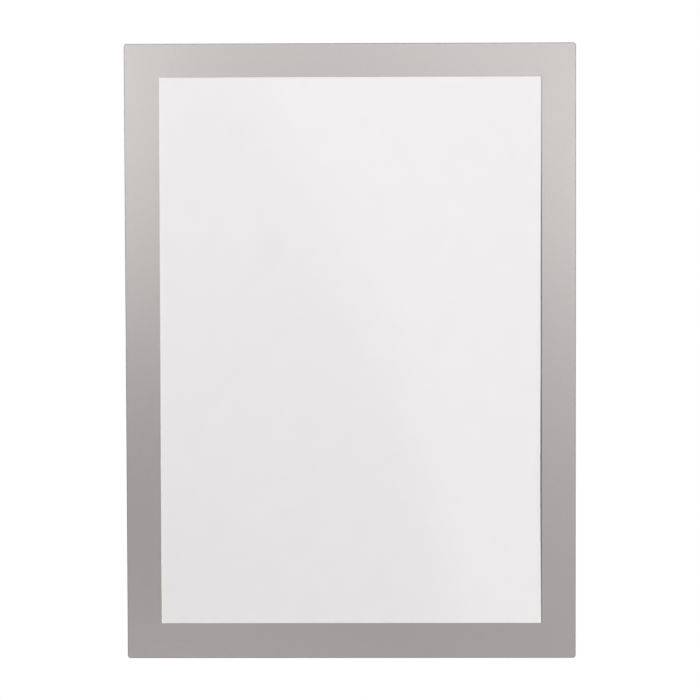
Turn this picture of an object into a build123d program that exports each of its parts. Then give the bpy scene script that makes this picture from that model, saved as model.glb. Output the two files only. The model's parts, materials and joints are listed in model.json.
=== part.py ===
# Magnetic display frame for one A4 sheet. A cover with a clear window folds open on a film hinge along
# its left side. It shuts by magnet strips on steel foil strips of a rear panel, and the rear panel
# holds itself on a steel board by four more magnet strips.
#
# Millimetres. +Z is up and the window faces -Y. The origin is the middle of the frame on the board's
# face. A depth is a distance from the board towards the viewer, along -Y.

import os

from build123d import *

os.makedirs("parts", exist_ok=True)

# Insert sheet and the pocket that it lies in
insert_width = 210.0
insert_height = 297.0
insert_thickness = 0.1
insert_clearance = 1.0  # from the centred sheet's edge to the strips round the pocket
window_overlap = 5.0  # how far the border covers the sheet's edge

# Cover
border_width = 18.0
cover_corner_radius = 1.5
border_film_thickness = 0.3
border_edge_radius = 0.15  # rolled edge left by the cutting die
window_film_thickness = 0.15
front_tape_thickness = 0.1
front_magnet_thickness = 0.9

# Strips round the pocket
strip_edge_inset = 0.5  # from the edge of the film or panel that carries the strip
strip_butt_gap = 0.3  # between the end of one strip and the side of the next

# Rear panel
rear_edge_inset = 0.8  # from the cover's edge to the panel's edge, on three sides
lift_lip = 1.5  # how far the cover overhangs the panel on the free side, for a fingernail
panel_corner_radius = 1.0
back_panel_thickness = 0.6
keeper_tape_thickness = 0.1
keeper_thickness = 0.4

# Magnet strips on the back
wall_magnet_width = 12.7
wall_magnet_thickness = 0.6
wall_magnet_inset = 3.0  # from the panel's edge to the strip
wall_tape_thickness = 0.1

# Film hinge
hinge_film_thickness = 0.1
hinge_fold_gap = 0.04  # between the two leaves when shut
hinge_axis_inset = 0.2  # from the cover's left edge to the fold's axis
hinge_leaf_inset = 0.8  # from the pocket side of the batten to the leaf's edge

# Outlines, as left, right, bottom and top
window_width = insert_width - 2 * window_overlap
window_height = insert_height - 2 * window_overlap
cover_width = window_width + 2 * border_width
cover_height = window_height + 2 * border_width
cover_right = cover_width / 2
cover_top = cover_height / 2
panel_left = -cover_right + rear_edge_inset
panel_right = cover_right - lift_lip
panel_top = cover_top - rear_edge_inset
pocket_right = insert_width / 2 + insert_clearance
pocket_top = insert_height / 2 + insert_clearance
cover_outline = (-cover_right, cover_right, -cover_top, cover_top)
panel_outline = (panel_left, panel_right, -panel_top, panel_top)
pocket_outline = (-pocket_right, pocket_right, -pocket_top, pocket_top)

# Depths of the layers, from the board outwards
wall_tape_depth = wall_magnet_thickness
panel_depth = wall_tape_depth + wall_tape_thickness
pocket_floor_depth = panel_depth + back_panel_thickness
keeper_depth = pocket_floor_depth + keeper_tape_thickness
parting_depth = keeper_depth + keeper_thickness
front_tape_depth = parting_depth + front_magnet_thickness
window_depth = front_tape_depth + front_tape_thickness
border_depth = window_depth + window_film_thickness

# Hinge, on the parting plane
hinge_x = -cover_right + hinge_axis_inset
fold_inner_radius = hinge_fold_gap / 2
fold_outer_radius = fold_inner_radius + hinge_film_thickness
leaf_width = -pocket_right - hinge_leaf_inset - hinge_x


def inset(outline, margin):
    """An outline with every side moved inwards by the margin."""
    left, right, bottom, top = outline
    return (left + margin, right - margin, bottom + margin, top - margin)


def strip_ring(outer, inner):
    """Outlines of four strips that fill a ring: full-height sides, with top and bottom between them."""
    left, right, bottom, top = outer
    inner_left, inner_right, inner_bottom, inner_top = inner
    butt_left = inner_left + strip_butt_gap
    butt_right = inner_right - strip_butt_gap
    return {
        "left": (left, inner_left, bottom, top),
        "right": (inner_right, right, bottom, top),
        "bottom": (butt_left, butt_right, bottom, inner_bottom),
        "top": (butt_left, butt_right, inner_top, top),
    }


def write_strip(name, outline, depth, thickness):
    """A flat strip with square-cut ends, lying at a depth."""
    left, right, bottom, top = outline
    with BuildPart() as strip:
        with BuildSketch(Plane.XZ.offset(depth)):
            with Locations(((left + right) / 2, (bottom + top) / 2)):
                Rectangle(right - left, top - bottom)
        extrude(amount=thickness)
    strip.part.label = name
    export_step(strip.part, f"parts/{name}.step")


front_strips = strip_ring(inset(cover_outline, strip_edge_inset), pocket_outline)
rear_strips = strip_ring(inset(panel_outline, strip_edge_inset), pocket_outline)
wall_outline = inset(panel_outline, wall_magnet_inset)
wall_strips = strip_ring(wall_outline, inset(wall_outline, wall_magnet_width))

# Border: one silver printed film with the window cut out of it. Its front edges are rolled over a
# little by the die, and only its outer corners are round.
with BuildPart() as border_film:
    with BuildSketch(Plane.XZ.offset(border_depth)):
        RectangleRounded(cover_width, cover_height, cover_corner_radius)
        Rectangle(window_width, window_height, mode=Mode.SUBTRACT)
    extrude(amount=border_film_thickness)
    front_face = border_film.faces().sort_by(Axis.Y)[0]
    fillet(front_face.edges(), min(border_edge_radius, border_film_thickness / 2))
border_film.part.label = "border_film"
export_step(border_film.part, "parts/border_film.step")

# Window: a clear film of the cover's full outline, laminated to the back of the border
with BuildPart() as window_film:
    with BuildSketch(Plane.XZ.offset(window_depth)):
        RectangleRounded(cover_width, cover_height, cover_corner_radius)
    extrude(amount=window_film_thickness)
window_film.part.label = "window_film"
export_step(window_film.part, "parts/window_film.step")

# Cover strips: tape on all four sides, magnets on three of them
for side, outline in front_strips.items():
    write_strip(f"front_tape_{side}", outline, front_tape_depth, front_tape_thickness)
    if side != "left":
        write_strip(f"front_magnet_{side}", outline, parting_depth, front_magnet_thickness)

# Cover batten: fills the hinge side between the film's front leaf and the tape
front_leaf_depth = parting_depth + fold_outer_radius
write_strip("front_batten", front_strips["left"], front_leaf_depth, front_tape_depth - front_leaf_depth)

# Rear panel: the sheet that carries the keepers, the hinge and the wall magnets
with BuildPart() as back_panel:
    with BuildSketch(Plane.XZ.offset(panel_depth)):
        with Locations(((panel_left + panel_right) / 2, 0)):
            RectangleRounded(panel_right - panel_left, 2 * panel_top, panel_corner_radius)
    extrude(amount=back_panel_thickness)
back_panel.part.label = "back_panel"
export_step(back_panel.part, "parts/back_panel.step")

# Panel strips: tape on all four sides, steel foil keepers on three of them
for side, outline in rear_strips.items():
    write_strip(f"keeper_tape_{side}", outline, pocket_floor_depth, keeper_tape_thickness)
    if side != "left":
        write_strip(f"keeper_{side}", outline, keeper_depth, keeper_thickness)

# Panel batten: carries the film's rear leaf
rear_leaf_depth = parting_depth - fold_outer_radius
write_strip("rear_batten", rear_strips["left"], keeper_depth, rear_leaf_depth - keeper_depth)

# Wall magnets: four strips taped to the back of the panel, with their faces on the board
for side, outline in wall_strips.items():
    write_strip(f"wall_magnet_{side}", outline, 0, wall_magnet_thickness)
    write_strip(f"wall_tape_{side}", outline, wall_tape_depth, wall_tape_thickness)

# Hinge: one film folded double round the axis, with a leaf on each batten
hinge_bottom = front_strips["left"][2]
hinge_top = front_strips["left"][3]
with BuildPart() as hinge_film:
    with BuildSketch(Plane.XY.offset(hinge_bottom)):
        with Locations((hinge_x, -parting_depth)):
            Circle(fold_outer_radius)
            Rectangle(leaf_width, 2 * fold_outer_radius, align=(Align.MIN, Align.CENTER))
            Circle(fold_inner_radius, mode=Mode.SUBTRACT)
            Rectangle(leaf_width, hinge_fold_gap, align=(Align.MIN, Align.CENTER), mode=Mode.SUBTRACT)
    extrude(amount=hinge_top - hinge_bottom)
hinge_film.part.label = "hinge_film"
export_step(hinge_film.part, "parts/hinge_film.step")

# Insert: the paper sheet lies on the panel and stands on the bottom strip of the pocket
with BuildPart() as insert_sheet:
    with BuildSketch(Plane.XZ.offset(pocket_floor_depth)):
        with Locations((0, -pocket_top)):
            Rectangle(insert_width, insert_height, align=(Align.CENTER, Align.MIN))
    extrude(amount=insert_thickness)
insert_sheet.part.label = "insert_sheet"
export_step(insert_sheet.part, "parts/insert_sheet.step")
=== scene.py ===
# Magnetic display frame for one A4 sheet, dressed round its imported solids. The sections follow the frame as
# it is put together, from the magnets that meet the board to the border in front, and end with the studio.

import json
import math

import bpy
from mathutils import Matrix, Vector


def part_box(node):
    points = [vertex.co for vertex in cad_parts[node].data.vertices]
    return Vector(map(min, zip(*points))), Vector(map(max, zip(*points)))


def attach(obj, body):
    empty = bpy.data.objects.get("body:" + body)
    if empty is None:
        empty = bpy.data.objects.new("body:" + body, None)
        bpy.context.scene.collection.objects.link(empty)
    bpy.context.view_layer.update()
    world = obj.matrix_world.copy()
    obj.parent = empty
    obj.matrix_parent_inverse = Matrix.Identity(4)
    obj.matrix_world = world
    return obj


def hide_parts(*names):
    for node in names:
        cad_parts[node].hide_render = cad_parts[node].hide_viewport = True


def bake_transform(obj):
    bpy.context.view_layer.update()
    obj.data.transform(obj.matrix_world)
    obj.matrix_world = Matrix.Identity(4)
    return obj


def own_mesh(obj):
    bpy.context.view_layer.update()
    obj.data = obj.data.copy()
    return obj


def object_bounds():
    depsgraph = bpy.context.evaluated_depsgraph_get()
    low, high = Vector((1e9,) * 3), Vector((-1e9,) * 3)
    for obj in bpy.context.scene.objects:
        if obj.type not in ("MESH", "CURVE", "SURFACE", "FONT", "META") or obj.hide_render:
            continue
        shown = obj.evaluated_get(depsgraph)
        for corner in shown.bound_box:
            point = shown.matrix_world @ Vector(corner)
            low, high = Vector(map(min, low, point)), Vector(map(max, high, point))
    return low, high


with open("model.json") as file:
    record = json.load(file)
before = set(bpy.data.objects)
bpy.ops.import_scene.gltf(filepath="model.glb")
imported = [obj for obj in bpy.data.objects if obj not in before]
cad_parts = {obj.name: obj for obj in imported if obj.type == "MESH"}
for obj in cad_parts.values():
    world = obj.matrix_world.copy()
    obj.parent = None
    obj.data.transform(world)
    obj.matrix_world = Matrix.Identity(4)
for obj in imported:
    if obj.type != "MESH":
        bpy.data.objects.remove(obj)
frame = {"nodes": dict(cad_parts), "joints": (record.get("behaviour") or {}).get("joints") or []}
cad_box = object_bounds()
bpy.ops.object.select_all(action="DESELECT")

# Wall magnets: four strips of ferrite rubber, rolled in long bands and cut square to length. Each is taped
# to the back of the panel, and together they hold the frame on a steel board.
mm = 0.001
wall_magnet_roll = 0.12 * mm
crease_angle = math.radians(40)


def linear(colour):
    """An sRGB hex colour such as "#2b2826" as linear red, green, blue and alpha."""
    channels = [int(colour[i : i + 2], 16) / 255 for i in (1, 3, 5)]
    return [c / 12.92 if c <= 0.04045 else ((c + 0.055) / 1.055) ** 2.4 for c in channels] + [1.0]


def add(material, kind, sockets=None, links=None, tones=(), **properties):
    """A new node in a material, with its socket values, its links from (node, output), the tones of its
    colour ramp as (position, hex colour), and its properties."""
    node = material.node_tree.nodes.new("ShaderNode" + kind)
    for name, value in properties.items():
        setattr(node, name, value)
    for name, value in (sockets or {}).items():
        node.inputs[name].default_value = value
    for name, (source, output) in (links or {}).items():
        material.node_tree.links.new(source.outputs[output], node.inputs[name])
    for i, (position, colour) in enumerate(tones):
        node.color_ramp.elements[i].position = position
        node.color_ramp.elements[i].color = linear(colour)
    return node


def empty_material(name):
    """A node material with nothing in it yet."""
    material = bpy.data.materials.new(name)
    material.use_nodes = True
    material.node_tree.nodes.clear()
    return material


def ferrite_rubber(along):
    """Strontium ferrite powder in nitrile rubber, rolled into a band: matt brown-black, with faint streaks
    along the strip from the rollers and a dusty grit, drawn coarser than the powder so that it shows."""
    rubber = empty_material("ferrite_rubber_" + along)
    rubber_tones = [(0.12, "#232120"), (0.42, "#3a3633")]
    streak_width = 1.1 * mm
    streak_length = 70 * mm
    grit_size = 0.7 * mm
    streak_scale = {
        "across": (1 / streak_length, 1 / streak_width, 1 / streak_width),
        "upright": (1 / streak_width, 1 / streak_width, 1 / streak_length),
    }[along]
    place = add(rubber, "TexCoord")
    stretch = add(rubber, "Mapping", {"Scale": streak_scale}, {"Vector": (place, "Object")})
    streaks = add(rubber, "TexNoise", {"Scale": 1.0, "Detail": 3.0}, {"Vector": (stretch, "Vector")})
    grit = add(rubber, "TexNoise", {"Scale": 1 / grit_size, "Detail": 4.0}, {"Vector": (place, "Object")})
    mottle = add(rubber, "Math", {}, {0: (streaks, "Fac"), 1: (grit, "Fac")}, operation="MULTIPLY")
    colour = add(rubber, "ValToRGB", {}, {"Fac": (mottle, "Value")}, rubber_tones)
    gloss = add(rubber, "MapRange", {"To Min": 0.5, "To Max": 0.72}, {"Value": (grit, "Fac")})
    relief = add(rubber, "Bump", {"Strength": 0.5, "Distance": 0.05 * mm}, {"Height": (mottle, "Value")})
    shader = add(
        rubber,
        "BsdfPrincipled",
        {"IOR": 1.52},
        {"Base Color": (colour, "Color"), "Roughness": (gloss, "Result"), "Normal": (relief, "Normal")},
    )
    add(rubber, "OutputMaterial", {}, {"Surface": (shader, "BSDF")})
    return rubber


def smooth_edges(piece):
    """Shades the rolled edges round, and keeps the wide faces flat up to them."""
    bpy.ops.object.shade_smooth_by_angle(angle=crease_angle)
    weights = piece.modifiers.new("flat_faces", "WEIGHTED_NORMAL")
    weights.keep_sharp = True
    bpy.ops.object.modifier_apply(modifier=weights.name)


def square_block(name, node):
    """A square-edged block that fills a node's box, to be shaped further."""
    low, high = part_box(node)
    bpy.ops.mesh.primitive_cube_add(size=1, location=(low + high) / 2, scale=high - low)
    piece = bpy.context.object
    piece.name = name
    bpy.ops.object.transform_apply(location=True, rotation=True, scale=True)
    return piece


def flat_strip(name, node, roll):
    """A flat strip in a node's place, with its edges and corners rolled over a little."""
    piece = square_block(name, node)
    bpy.ops.object.mode_set(mode="EDIT")
    bpy.ops.mesh.select_all(action="SELECT")
    bpy.ops.mesh.bevel(offset=roll, segments=3, affect="EDGES")
    bpy.ops.object.mode_set(mode="OBJECT")
    smooth_edges(piece)
    return piece


def seat(piece, body, material, node):
    """Gives a piece its finish and seats it on its body, in place of the solid that it stands for."""
    piece.data.materials.append(material)
    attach(piece, body)
    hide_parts(node)
    piece.select_set(False)


rubber_by_run = {"across": ferrite_rubber("across"), "upright": ferrite_rubber("upright")}
run_of_side = {"top": "across", "bottom": "across", "left": "upright", "right": "upright"}
for side, run in run_of_side.items():
    node = f"wall_magnet_{side}"
    piece = flat_strip(f"{node}_strip", node, wall_magnet_roll)
    seat(piece, "rear_panel", rubber_by_run[run], node)

# Tapes: double-sided acrylic film, clear and a little yellow, laid under every strip. Only its cut edges
# show, so the solids keep their shape and take the finish.
tape = empty_material("acrylic_transfer_tape")
tape_tones = [(0.3, "#d6d0bf"), (0.7, "#e4dfd2")]
glue_cloud = 3 * mm
place = add(tape, "TexCoord")
cloud = add(tape, "TexNoise", {"Scale": 1 / glue_cloud, "Detail": 3.0}, {"Vector": (place, "Object")})
colour = add(tape, "ValToRGB", {}, {"Fac": (cloud, "Fac")}, tape_tones)
gloss = add(tape, "MapRange", {"To Min": 0.3, "To Max": 0.5}, {"Value": (cloud, "Fac")})
shader = add(
    tape,
    "BsdfPrincipled",
    {"IOR": 1.47},
    {"Base Color": (colour, "Color"), "Roughness": (gloss, "Result")},
)
add(tape, "OutputMaterial", {}, {"Surface": (shader, "BSDF")})
for layer in ("wall_tape", "keeper_tape", "front_tape"):
    for side in run_of_side:
        strip = frame["nodes"][f"{layer}_{side}"]
        strip.data.materials.clear()
        strip.data.materials.append(tape)

# Back panel: a stiff PVC sheet, die-cut with small round corners, that carries all the rest. It is light
# grey and rolled with a fine leather grain on both faces, drawn coarser than it is so that it shows. The
# grooves of the grain are painted a little darker, as painted shade.
panel_corner_radius = 1.0 * mm
panel_edge_roll = 0.1 * mm
same_place = 0.001 * mm
panel = square_block("back_panel_sheet", "back_panel")


def select_where(piece, kind, wanted):
    """Selects, in edit mode, the points, edges or faces of a piece whose corners pass a test."""
    bpy.ops.object.mode_set(mode="EDIT")
    bpy.ops.mesh.select_mode(type=kind)
    bpy.ops.mesh.select_all(action="DESELECT")
    bpy.ops.object.mode_set(mode="OBJECT")
    points = piece.data.vertices
    for element in {"VERT": points, "EDGE": piece.data.edges, "FACE": piece.data.polygons}[kind]:
        corners = [element.index] if kind == "VERT" else element.vertices
        element.select = wanted(*(points[i].co for i in corners))
    bpy.ops.object.mode_set(mode="EDIT")


def runs_through(first, second):
    """True for the two ends of an edge that runs through the sheet's thickness."""
    return abs(first.x - second.x) < same_place and abs(first.z - second.z) < same_place


select_where(panel, "EDGE", runs_through)
bpy.ops.mesh.bevel(offset=panel_corner_radius, segments=6, affect="EDGES")
select_where(panel, "EDGE", lambda first, second: not runs_through(first, second))
bpy.ops.mesh.bevel(offset=panel_edge_roll, segments=2, affect="EDGES")
bpy.ops.object.mode_set(mode="OBJECT")
smooth_edges(panel)

pvc = empty_material("embossed_grey_pvc")
pvc_groove_shade_tones = [(0.0, "#c4c5c6"), (1.0, "#cfd0d1")]
grain_cell = 2.3 * mm
groove_share = 0.3
batch_cloud = 45 * mm
place = add(pvc, "TexCoord")
cells = add(
    pvc,
    "TexVoronoi",
    {"Scale": 1 / grain_cell},
    {"Vector": (place, "Object")},
    feature="DISTANCE_TO_EDGE",
)
raised = add(pvc, "MapRange", {"From Max": groove_share}, {"Value": (cells, "Distance")})
# the grooves of the grain take the darker tone: painted shade in the grooves
colour = add(pvc, "ValToRGB", {}, {"Fac": (raised, "Result")}, pvc_groove_shade_tones)
cloud = add(pvc, "TexNoise", {"Scale": 1 / batch_cloud, "Detail": 4.0}, {"Vector": (place, "Object")})
gloss = add(pvc, "MapRange", {"To Min": 0.48, "To Max": 0.62}, {"Value": (cloud, "Fac")})
relief = add(pvc, "Bump", {"Strength": 0.6, "Distance": 0.04 * mm}, {"Height": (raised, "Result")})
shader = add(
    pvc,
    "BsdfPrincipled",
    {"IOR": 1.53},
    {"Base Color": (colour, "Color"), "Roughness": (gloss, "Result"), "Normal": (relief, "Normal")},
)
add(pvc, "OutputMaterial", {}, {"Surface": (shader, "BSDF")})
seat(panel, "rear_panel", pvc, "back_panel")

# Keepers: three strips of thin steel foil on the panel, slit from a cold-rolled band. The closing magnets of
# the cover hold on to them.
keeper_burr = 0.05 * mm


def rolled_steel(along):
    """Cold-rolled steel foil with a thin zinc coat: a grey satin metal, with fine rolling lines along the
    strip that spread its highlights across it."""
    steel = empty_material("rolled_steel_foil_" + along)
    steel_tones = [(0.3, "#a3a5a7"), (0.7, "#b9bbbd")]
    line_width = 0.6 * mm
    line_length = 90 * mm
    line_scale = {
        "across": (1 / line_length, 1 / line_width, 1 / line_width),
        "upright": (1 / line_width, 1 / line_width, 1 / line_length),
    }[along]
    place = add(steel, "TexCoord")
    stretch = add(steel, "Mapping", {"Scale": line_scale}, {"Vector": (place, "Object")})
    lines = add(steel, "TexNoise", {"Scale": 1.0, "Detail": 4.0}, {"Vector": (stretch, "Vector")})
    colour = add(steel, "ValToRGB", {}, {"Fac": (lines, "Fac")}, steel_tones)
    gloss = add(steel, "MapRange", {"To Min": 0.24, "To Max": 0.42}, {"Value": (lines, "Fac")})
    relief = add(steel, "Bump", {"Strength": 0.35, "Distance": 0.02 * mm}, {"Height": (lines, "Fac")})
    shader = add(
        steel,
        "BsdfPrincipled",
        {"Metallic": 1.0},
        {"Base Color": (colour, "Color"), "Roughness": (gloss, "Result"), "Normal": (relief, "Normal")},
    )
    add(steel, "OutputMaterial", {}, {"Surface": (shader, "BSDF")})
    return steel


steel_by_run = {"across": rolled_steel("across"), "upright": rolled_steel("upright")}
for side in ("top", "bottom", "right"):
    node = f"keeper_{side}"
    piece = flat_strip(f"{node}_foil", node, keeper_burr)
    seat(piece, "rear_panel", steel_by_run[run_of_side[side]], node)

# Battens: two plain PVC strips along the hinge side, one on the panel and one on the cover. They fill that
# side to the height of the magnets and carry the leaves of the hinge film.
batten_roll = 0.07 * mm
batten_pvc = empty_material("extruded_grey_pvc")
batten_tones = [(0.3, "#b9babb"), (0.7, "#c4c5c6")]
die_line_width = 0.9 * mm
die_line_length = 120 * mm
die_line_scale = (1 / die_line_width, 1 / die_line_width, 1 / die_line_length)
place = add(batten_pvc, "TexCoord")
stretch = add(batten_pvc, "Mapping", {"Scale": die_line_scale}, {"Vector": (place, "Object")})
lines = add(batten_pvc, "TexNoise", {"Scale": 1.0, "Detail": 3.0}, {"Vector": (stretch, "Vector")})
colour = add(batten_pvc, "ValToRGB", {}, {"Fac": (lines, "Fac")}, batten_tones)
gloss = add(batten_pvc, "MapRange", {"To Min": 0.5, "To Max": 0.66}, {"Value": (lines, "Fac")})
relief = add(batten_pvc, "Bump", {"Strength": 0.4, "Distance": 0.03 * mm}, {"Height": (lines, "Fac")})
shader = add(
    batten_pvc,
    "BsdfPrincipled",
    {"IOR": 1.53},
    {"Base Color": (colour, "Color"), "Roughness": (gloss, "Result"), "Normal": (relief, "Normal")},
)
add(batten_pvc, "OutputMaterial", {}, {"Surface": (shader, "BSDF")})
for node, body in (("rear_batten", "rear_panel"), ("front_batten", "front_cover")):
    piece = flat_strip(f"{node}_strip", node, batten_roll)
    seat(piece, body, batten_pvc, node)

# Hinge film: one strip of satin polypropylene, folded double round the hinge line. Its rear leaf is fixed to
# the panel's batten and its front leaf to the cover's.
hinge_film_thickness = 0.1 * mm
fold_steps = 12
hinge_axis = Vector(frame["joints"][0]["pos_m"])
low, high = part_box("hinge_film")
fold_radius = (high.y - low.y) / 2 - hinge_film_thickness / 2
leaf_width = high.x - hinge_axis.x
leaf_height = high.z - low.z
rear_leaf_y = hinge_axis.y + fold_radius


def thicken(piece, thickness, offset):
    """Gives a sheet its thickness: half to each side at an offset of 0, and all to the front at 1."""
    wall = piece.modifiers.new("thickness", "SOLIDIFY")
    wall.thickness = thickness
    wall.offset = offset
    bpy.ops.object.modifier_apply(modifier=wall.name)


bpy.ops.mesh.primitive_plane_add(
    size=1,
    location=(hinge_axis.x + leaf_width / 2, rear_leaf_y, (low.z + high.z) / 2),
    rotation=(math.radians(90), 0, 0),
)
hinge = bpy.context.object
hinge.name = "hinge_film_fold"
hinge.scale = (leaf_width, leaf_height, 1)
bpy.ops.object.transform_apply(location=True, rotation=True, scale=True)
select_where(hinge, "EDGE", lambda first, second: max(first.x, second.x) < hinge_axis.x + same_place)
bpy.ops.mesh.spin(steps=fold_steps, angle=math.radians(-180), center=hinge_axis, axis=(0, 0, 1))
bpy.ops.mesh.extrude_region_move(TRANSFORM_OT_translate={"value": (leaf_width, 0, 0)})
bpy.ops.mesh.select_all(action="SELECT")
bpy.ops.mesh.remove_doubles(threshold=same_place)
bpy.ops.mesh.normals_make_consistent(inside=False)
bpy.ops.object.mode_set(mode="OBJECT")
thicken(hinge, hinge_film_thickness, 0)
bpy.ops.object.shade_smooth_by_angle(angle=crease_angle)

film = empty_material("satin_polypropylene_film")
film_tones = [(0.3, "#a5a5a6"), (0.7, "#b0b0b1")]
draw_line_width = 0.8 * mm
draw_line_length = 150 * mm
draw_line_scale = (1 / draw_line_width, 1 / draw_line_width, 1 / draw_line_length)
place = add(film, "TexCoord")
stretch = add(film, "Mapping", {"Scale": draw_line_scale}, {"Vector": (place, "Object")})
lines = add(film, "TexNoise", {"Scale": 1.0, "Detail": 2.0}, {"Vector": (stretch, "Vector")})
colour = add(film, "ValToRGB", {}, {"Fac": (lines, "Fac")}, film_tones)
gloss = add(film, "MapRange", {"To Min": 0.36, "To Max": 0.5}, {"Value": (lines, "Fac")})
shader = add(
    film,
    "BsdfPrincipled",
    {"IOR": 1.49},
    {"Base Color": (colour, "Color"), "Roughness": (gloss, "Result")},
)
add(film, "OutputMaterial", {}, {"Surface": (shader, "BSDF")})
hinge.data.materials.append(film)
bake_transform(hinge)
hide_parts("hinge_film")
hinge.select_set(False)

# Insert sheet: a plain white A4 sheet of office paper that stands loose in the pocket. It curls forward and
# lies close behind the window, and hangs back a little along its right side, most of all below the middle.
sheet_thickness = 0.1 * mm
sheet_cell = 5 * mm
sheet_lift = 1.37 * mm
# stretches of the right side that hang back, in millimetres: bottom, top, depth and reach
slack_stretches = [(-60, 40, 0.38, 100), (-85, -50, 0.22, 60)]
low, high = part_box("insert_sheet")


def upright_grid(name, low, high, y, cell):
    """A flat sheet of square cells that faces the viewer at one depth."""
    width, height = high.x - low.x, high.z - low.z
    bpy.ops.mesh.primitive_grid_add(
        x_subdivisions=round(width / cell),
        y_subdivisions=round(height / cell),
        size=1,
        location=((low.x + high.x) / 2, y, (low.z + high.z) / 2),
        rotation=(math.radians(90), 0, 0),
    )
    piece = bpy.context.object
    piece.name = name
    piece.scale = (width, height, 1)
    bpy.ops.object.transform_apply(location=True, rotation=True, scale=True)
    return piece


def pull(piece, wanted, distance, reach):
    """Pulls the wanted points towards the viewer and lets the sheet round them follow softly."""
    select_where(piece, "VERT", wanted)
    bpy.ops.transform.translate(
        value=(0, -distance, 0),
        use_proportional_edit=True,
        proportional_edit_falloff="SMOOTH",
        proportional_size=reach,
    )
    bpy.ops.object.mode_set(mode="OBJECT")


sheet = upright_grid("insert_sheet_paper", low, high, high.y - sheet_lift, sheet_cell)
for bottom, top, depth, reach in slack_stretches:
    pull(
        sheet,
        lambda co: co.x > high.x - sheet_cell / 2 and bottom * mm < co.z < top * mm,
        -depth * mm,
        reach * mm,
    )
thicken(sheet, sheet_thickness, 1)
bpy.ops.object.shade_smooth_by_angle(angle=crease_angle)

paper = empty_material("uncoated_white_paper")
paper_tones = [(0.75, "#f1efef"), (1.0, "#f3f1f1")]
paper_cloud = 9 * mm
fibre_clump = 0.9 * mm
place = add(paper, "TexCoord")
cloud = add(paper, "TexNoise", {"Scale": 1 / paper_cloud, "Detail": 4.0}, {"Vector": (place, "Object")})
fibres = add(paper, "TexNoise", {"Scale": 1 / fibre_clump, "Detail": 5.0}, {"Vector": (place, "Object")})
formation = add(paper, "Math", {}, {0: (cloud, "Fac"), 1: (fibres, "Fac")}, operation="ADD")
colour = add(paper, "ValToRGB", {}, {"Fac": (formation, "Value")}, paper_tones)
gloss = add(paper, "MapRange", {"To Min": 0.8, "To Max": 0.95}, {"Value": (fibres, "Fac")})
relief = add(paper, "Bump", {"Strength": 0.15, "Distance": 0.02 * mm}, {"Height": (fibres, "Fac")})
shader = add(
    paper,
    "BsdfPrincipled",
    {"IOR": 1.3},
    {"Base Color": (colour, "Color"), "Roughness": (gloss, "Result"), "Normal": (relief, "Normal")},
)
add(paper, "OutputMaterial", {}, {"Surface": (shader, "BSDF")})
seat(sheet, "rear_panel", paper, "insert_sheet")
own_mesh(sheet)

# Closing magnets: three strips of the same ferrite rubber, a little thicker than those on the back and taped
# behind the border. They snap on to the keepers when the cover shuts.
front_magnet_roll = 0.12 * mm
for side in ("top", "bottom", "right"):
    node = f"front_magnet_{side}"
    piece = flat_strip(f"{node}_strip", node, front_magnet_roll)
    seat(piece, "front_cover", rubber_by_run[run_of_side[side]], node)

# Window: a clear PVC film as large as the cover, glued behind the border. It is held only at its rim, so the
# middle stands a little proud. A slanting, bent reflection of the painted glow on the studio wall lies across
# it.
cover_corner_radius = 1.5 * mm
window_film_thickness = 0.15 * mm
window_cell = 6 * mm
window_bow = 0.1 * mm
window_bow_reach = 95 * mm
low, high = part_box("window_film")
window = upright_grid("window_film_sheet", low, high, high.y, window_cell)


def is_corner(co):
    """True for a point in a corner of the cover."""
    at_side = min(co.x - low.x, high.x - co.x) < same_place
    at_end = min(co.z - low.z, high.z - co.z) < same_place
    return at_side and at_end


select_where(window, "VERT", is_corner)
bpy.ops.mesh.bevel(offset=cover_corner_radius, segments=6, affect="VERTICES")
bpy.ops.object.mode_set(mode="OBJECT")
pull(window, lambda co: co.length < window_cell, window_bow, window_bow_reach)
thicken(window, window_film_thickness, 1)
bpy.ops.object.shade_smooth_by_angle(angle=crease_angle)

# Clear PVC film: polished by its rollers, so it mirrors a little and lets the rest through. Its front faces
# mirror for both sides of the film, about 8 percent straight on, which one face of index 1.8 gives.
clear = empty_material("clear_pvc_film")
polish_wave = 30 * mm
both_faces_index = 1.8
place = add(clear, "TexCoord")
wave = add(clear, "TexNoise", {"Scale": 1 / polish_wave, "Detail": 1.0}, {"Vector": (place, "Object")})
gloss = add(clear, "MapRange", {"To Min": 0.02, "To Max": 0.05}, {"Value": (wave, "Fac")})
fresnel = add(clear, "Fresnel", {"IOR": both_faces_index})
side_of_film = add(clear, "NewGeometry")
front = add(clear, "Math", {0: 1.0}, {1: (side_of_film, "Backfacing")}, operation="SUBTRACT")
share = add(clear, "Math", {}, {0: (fresnel, "Fac"), 1: (front, "Value")}, operation="MULTIPLY")
through = add(clear, "BsdfTransparent", {"Color": linear("#fefefe")})
mirror = add(clear, "BsdfGlossy", {"Color": linear("#ffffff")}, {"Roughness": (gloss, "Result")})
shader = add(clear, "MixShader", {}, {0: (share, "Value"), 1: (through, "BSDF"), 2: (mirror, "BSDF")})
add(clear, "OutputMaterial", {}, {"Surface": (shader, "Shader")})
seat(window, "front_cover", clear, "window_film")

# Border: a ring of PVC film printed silver and varnished satin, die-cut in one piece and glued on the window
# film. The die rolls its front edges over and cuts the window a little above the middle. The outer corners
# are round and the inner ones sharp.
border_width = 18 * mm
outline_roll = 0.24 * mm
window_edge_roll = 0.12 * mm
window_shift = Vector((0.18, 0, 0.53)) * mm
rim_margin = 0.01 * mm
border_low, border_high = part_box("border_film")
window_low = border_low + Vector((border_width, 0, border_width)) + window_shift
window_high = border_high - Vector((border_width, 0, border_width)) + window_shift


def inside_by(point, box_low, box_high):
    """How far a point of the cover lies inside the nearest side of a box, or outside it if below zero."""
    return min(point.x - box_low.x, box_high.x - point.x, point.z - box_low.z, box_high.z - point.z)


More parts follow.
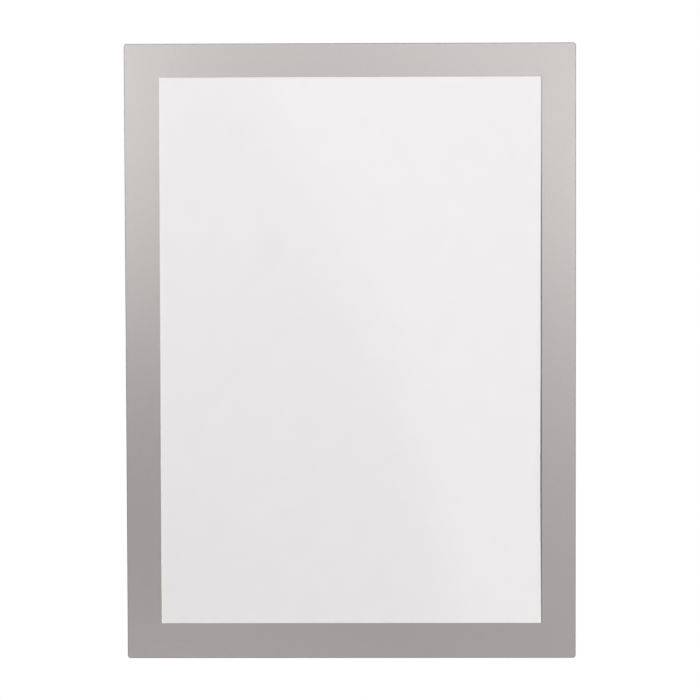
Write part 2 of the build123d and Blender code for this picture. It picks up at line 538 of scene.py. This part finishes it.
def at_outline(point):
    """True for a point of the border beside its outer edge."""
    return inside_by(point, border_low, border_high) < cover_corner_radius


def at_window(point):
    """True for a point of the border on the edge of the window."""
    return abs(inside_by(point, window_low, window_high)) < rim_margin


border_middle = (border_low + border_high) / 2
bpy.ops.mesh.primitive_plane_add(
    size=1,
    location=(border_middle.x, border_high.y, border_middle.z),
    rotation=(math.radians(90), 0, 0),
)
border = bpy.context.object
border.name = "border_film_ring"
border.scale = (border_high.x - border_low.x, border_high.z - border_low.z, 1)
bpy.ops.object.transform_apply(location=True, rotation=True, scale=True)
bpy.ops.object.mode_set(mode="EDIT")
bpy.ops.mesh.select_all(action="SELECT")
bpy.ops.mesh.bevel(offset=cover_corner_radius, segments=8, affect="VERTICES")
for corner in (window_low, window_high):
    for normal in (Vector((1, 0, 0)), Vector((0, 0, 1))):
        bpy.ops.mesh.select_all(action="SELECT")
        bpy.ops.mesh.bisect(plane_co=corner, plane_no=normal)
select_where(border, "FACE", lambda *corners: all(at_window(corner) for corner in corners))
bpy.ops.mesh.delete(type="FACE")
bpy.ops.object.mode_set(mode="OBJECT")
thicken(border, border_high.y - border_low.y, 1)
front_limit = border_low.y + rim_margin
for at_rim, roll in ((at_outline, outline_roll), (at_window, window_edge_roll)):
    select_where(
        border,
        "EDGE",
        lambda first, second: max(first.y, second.y) < front_limit and at_rim((first + second) / 2),
    )
    bpy.ops.mesh.bevel(offset=roll, segments=4, affect="EDGES")
    bpy.ops.object.mode_set(mode="OBJECT")
smooth_edges(border)

# Silver print: aluminium flakes in a satin varnish over PVC. It shines as a soft metal, with a fine sparkle
# from the flakes, drawn coarser than they are so that it shows.
silver = empty_material("satin_silver_print")
silver_tones = [(0.3, "#a09c9b"), (0.7, "#a29e9d")]
flake_cluster = 0.9 * mm
varnish_wave = 14 * mm
place = add(silver, "TexCoord")
flakes = add(silver, "TexNoise", {"Scale": 1 / flake_cluster, "Detail": 4.0}, {"Vector": (place, "Object")})
wave = add(silver, "TexNoise", {"Scale": 1 / varnish_wave, "Detail": 2.0}, {"Vector": (place, "Object")})
colour = add(silver, "ValToRGB", {}, {"Fac": (flakes, "Fac")}, silver_tones)
gloss = add(silver, "MapRange", {"To Min": 0.28, "To Max": 0.288}, {"Value": (wave, "Fac")})
shader = add(
    silver,
    "BsdfPrincipled",
    {"Metallic": 1.0},
    {"Base Color": (colour, "Color"), "Roughness": (gloss, "Result")},
)
add(silver, "OutputMaterial", {}, {"Surface": (shader, "BSDF")})
seat(border, "front_cover", silver, "border_film")

# Bare sides of the border: the grey PVC under the print, on the back and round the edge that the die cut. A
# narrow band of the back shows through the window film when the cover is open.
grey_pvc = empty_material("bare_grey_pvc")
grey_tones = [(0.3, "#4e4c4b"), (0.7, "#545251")]
roller_cloud = 20 * mm
place = add(grey_pvc, "TexCoord")
cloud = add(grey_pvc, "TexNoise", {"Scale": 1 / roller_cloud, "Detail": 3.0}, {"Vector": (place, "Object")})
colour = add(grey_pvc, "ValToRGB", {}, {"Fac": (cloud, "Fac")}, grey_tones)
gloss = add(grey_pvc, "MapRange", {"To Min": 0.7, "To Max": 0.85}, {"Value": (cloud, "Fac")})
shader = add(
    grey_pvc,
    "BsdfPrincipled",
    {"IOR": 1.53},
    {"Base Color": (colour, "Color"), "Roughness": (gloss, "Result")},
)
add(grey_pvc, "OutputMaterial", {}, {"Surface": (shader, "BSDF")})
border.data.materials.append(grey_pvc)
silver_slot, bare_slot = 0, 1
back_facing = 0.9
for face in border.data.polygons:
    is_bare = at_outline(face.center) or face.normal.y > back_facing
    face.material_index = bare_slot if is_bare else silver_slot

# Studio: a pale floor well below the frame, which hangs free as on a board, and a white room. Lamps are
# invisible to the camera and are set by direction as seen from the frame, and the four banks among them show
# only in what mirrors.
floor_drop = 0.35
floor_size = 2.6
fade_start = 0.3 * floor_size
fade_end = 0.5 * floor_size
bpy.ops.mesh.primitive_plane_add(size=floor_size, location=(0, 0, cad_box[0].z - floor_drop))
floor = bpy.context.object
floor.name = "studio_floor"
bpy.ops.object.transform_apply(location=True, rotation=True, scale=True)
floor.visible_diffuse = False
floor_paint = empty_material("matt_white_floor_paint")
place = add(floor_paint, "TexCoord")
radius = add(floor_paint, "VectorMath", {}, {0: (place, "Object")}, operation="LENGTH")
fade = add(
    floor_paint,
    "MapRange",
    {"From Min": fade_start, "From Max": fade_end},
    {"Value": (radius, "Value")},
    interpolation_type="SMOOTHSTEP",
)
ray = add(floor_paint, "LightPath")
mirror_rays = {0: (ray, "Is Glossy Ray"), 1: (ray, "Is Transmission Ray")}
mirrored = add(floor_paint, "Math", {}, mirror_rays, operation="MAXIMUM")
faded_view = {0: (ray, "Is Camera Ray"), 1: (fade, "Result")}
seen = add(floor_paint, "Math", {}, faded_view, operation="MULTIPLY")
white_rays = {0: (mirrored, "Value"), 1: (seen, "Value")}
white_share = add(floor_paint, "Math", {}, white_rays, operation="MAXIMUM")
paint = add(floor_paint, "BsdfDiffuse", {"Color": linear("#f2f2f1")})
white = add(floor_paint, "Emission", {"Color": linear("#ffffff"), "Strength": 1.0})
surface = add(
    floor_paint,
    "MixShader",
    {},
    {0: (white_share, "Value"), 1: (paint, "BSDF"), 2: (white, "Emission")},
)
add(floor_paint, "OutputMaterial", {}, {"Surface": (surface, "Shader")})
floor.data.materials.append(floor_paint)

room_light = 0.03
world = bpy.data.worlds.new("white_room")
bpy.context.scene.world = world
world.use_nodes = True
world.node_tree.nodes.clear()
ray = add(world, "LightPath")
mirror_rays = {0: (ray, "Is Glossy Ray"), 1: (ray, "Is Transmission Ray")}
mirrored = add(world, "Math", {}, mirror_rays, operation="MAXIMUM")
white_rays = {0: (ray, "Is Camera Ray"), 1: (mirrored, "Value")}
seen = add(world, "Math", {}, white_rays, operation="MAXIMUM")
strength = add(world, "MapRange", {"To Min": room_light, "To Max": 1.0}, {"Value": (seen, "Value")})
room = add(world, "Background", {"Color": linear("#ffffff")}, {"Strength": (strength, "Result")})
add(world, "OutputWorld", {}, {"Surface": (room, "Background")})


def direction(azimuth, elevation):
    """The way from the frame to something seen at an azimuth to the right and an elevation, in degrees."""
    turn, rise = math.radians(azimuth), math.radians(elevation)
    return Vector((math.sin(turn) * math.cos(rise), -math.cos(turn) * math.cos(rise), math.sin(rise)))


# name, azimuth and elevation in degrees, distance, width and height in metres, radiance
lamps = [
    ("key_strip", 38, 3.5, 4.4, 0.3, 1.2, 182.0),
    ("fill_softbox", -40, 36, 0.55, 0.4, 0.4, 1.27),
    ("bank_left", -10.6, 3.1, 1.9, 0.12, 0.32, 8.9),
    ("bank_right", 9.5, 2.6, 1.9, 0.12, 0.15, 11.8),
    ("bank_top", 1.3, 9, 1.9, 0.26, 0.1, 5.6),
    ("bank_low", -9.3, -16, 1.9, 0.5, 0.12, 2.55),
    ("rear_left", -145, 25, 1.9, 0.8, 0.8, 12.0),
    ("rear_right", 145, 35, 1.9, 0.8, 0.8, 12.0),
]
for name, azimuth, elevation, distance, width, height, radiance in lamps:
    lamp = bpy.data.lights.new(name, "AREA")
    lamp.shape = "RECTANGLE"
    lamp.size = width
    lamp.size_y = height
    lamp.energy = radiance * math.pi * width * height
    holder = bpy.data.objects.new(name, lamp)
    holder.location = direction(azimuth, elevation) * distance
    holder.rotation_euler = direction(azimuth, elevation).to_track_quat("Z", "Y").to_euler()
    holder.visible_camera = False
    holder.visible_diffuse = not name.startswith("bank")
    bpy.context.scene.collection.objects.link(holder)

# Studio wall: a wall behind the camera that shows only in mirrors and glows with painted light, not a lamp. A
# dimmer, out-of-focus patch of that glow stands for a grey curtain over its lower left, and the window film
# mirrors the slanting edge of that patch, with a bend in it, as a painted reflection.
wall_width = 2.4
wall_height = 2.0
wall_distance = 2.0
bright_glow_strength = 0.85
curtain_glow_strength = 0.38
# lower and upper part of the edge: a point in metres from the wall's middle, the way off the curtain in
# degrees, and half the softness in metres
curtain_edges = [
    (Vector((0.06, 0, -0.286)), 5.7, 0.043),
    (Vector((-0.042, 0, -0.028)), 24, 0.057),
]
bpy.ops.mesh.primitive_plane_add(
    size=1, location=(0, -wall_distance, 0), rotation=(math.radians(-90), 0, 0)
)
studio_wall = bpy.context.object
studio_wall.name = "studio_wall"
studio_wall.scale = (wall_width, wall_height, 1)
bpy.ops.object.transform_apply(location=True, rotation=True, scale=True)
studio_wall.visible_camera = False
studio_wall.visible_diffuse = False
studio_wall.visible_shadow = False
painted_wall_glow = empty_material("painted_glow_wall_and_curtain")
place = add(painted_wall_glow, "TexCoord")
inner_sides = []
for point, angle, softness in curtain_edges:
    away = Vector((math.cos(math.radians(angle)), 0, math.sin(math.radians(angle))))
    edge = away.dot(point)
    along = add(painted_wall_glow, "VectorMath", {1: away}, {0: (place, "Object")}, operation="DOT_PRODUCT")
    inner_side = add(
        painted_wall_glow,
        "MapRange",
        {"From Min": edge - softness, "From Max": edge + softness, "To Min": 1.0, "To Max": 0.0},
        {"Value": (along, "Value")},
        interpolation_type="SMOOTHSTEP",
    )
    inner_sides.append(inner_side)
inside_both = {i: (inner_side, "Result") for i, inner_side in enumerate(inner_sides)}
covered = add(painted_wall_glow, "Math", {}, inside_both, operation="MULTIPLY")
# glow strength: bright on the open wall and dim on the curtain patch, as painted light
wall_glow_strengths = {"To Min": bright_glow_strength, "To Max": curtain_glow_strength}
tone = add(painted_wall_glow, "MapRange", wall_glow_strengths, {"Value": (covered, "Value")})
glow = add(painted_wall_glow, "Emission", {"Color": linear("#ffffff")}, {"Strength": (tone, "Result")})
add(painted_wall_glow, "OutputMaterial", {}, {"Surface": (glow, "Emission")})
studio_wall.data.materials.append(painted_wall_glow)

# Camera: a long lens almost square on to the frame, a little above its middle and to the right of it, and
# rolled by a fraction of a degree. Its angles are in degrees, and its lens and film in millimetres.
camera_azimuth = 0.98
camera_elevation = 3.56
camera_roll = -0.176
camera_distance = 1.918
camera_target = Vector((-0.36, 0, 0.95)) * mm
focal_length = 187.8
film_width = 36
camera = bpy.data.cameras.new("camera")
camera.lens = focal_length
camera.sensor_width = film_width
camera_holder = bpy.data.objects.new("camera", camera)
back = direction(camera_azimuth, camera_elevation)
turn = back.to_track_quat("Z", "Y").to_matrix() @ Matrix.Rotation(math.radians(camera_roll), 3, "Z")
camera_holder.matrix_world = Matrix.Translation(camera_target + back * camera_distance) @ turn.to_4x4()
bpy.context.scene.collection.objects.link(camera_holder)
bpy.context.scene.camera = camera_holder
bpy.context.scene.view_settings.view_transform = "Standard"
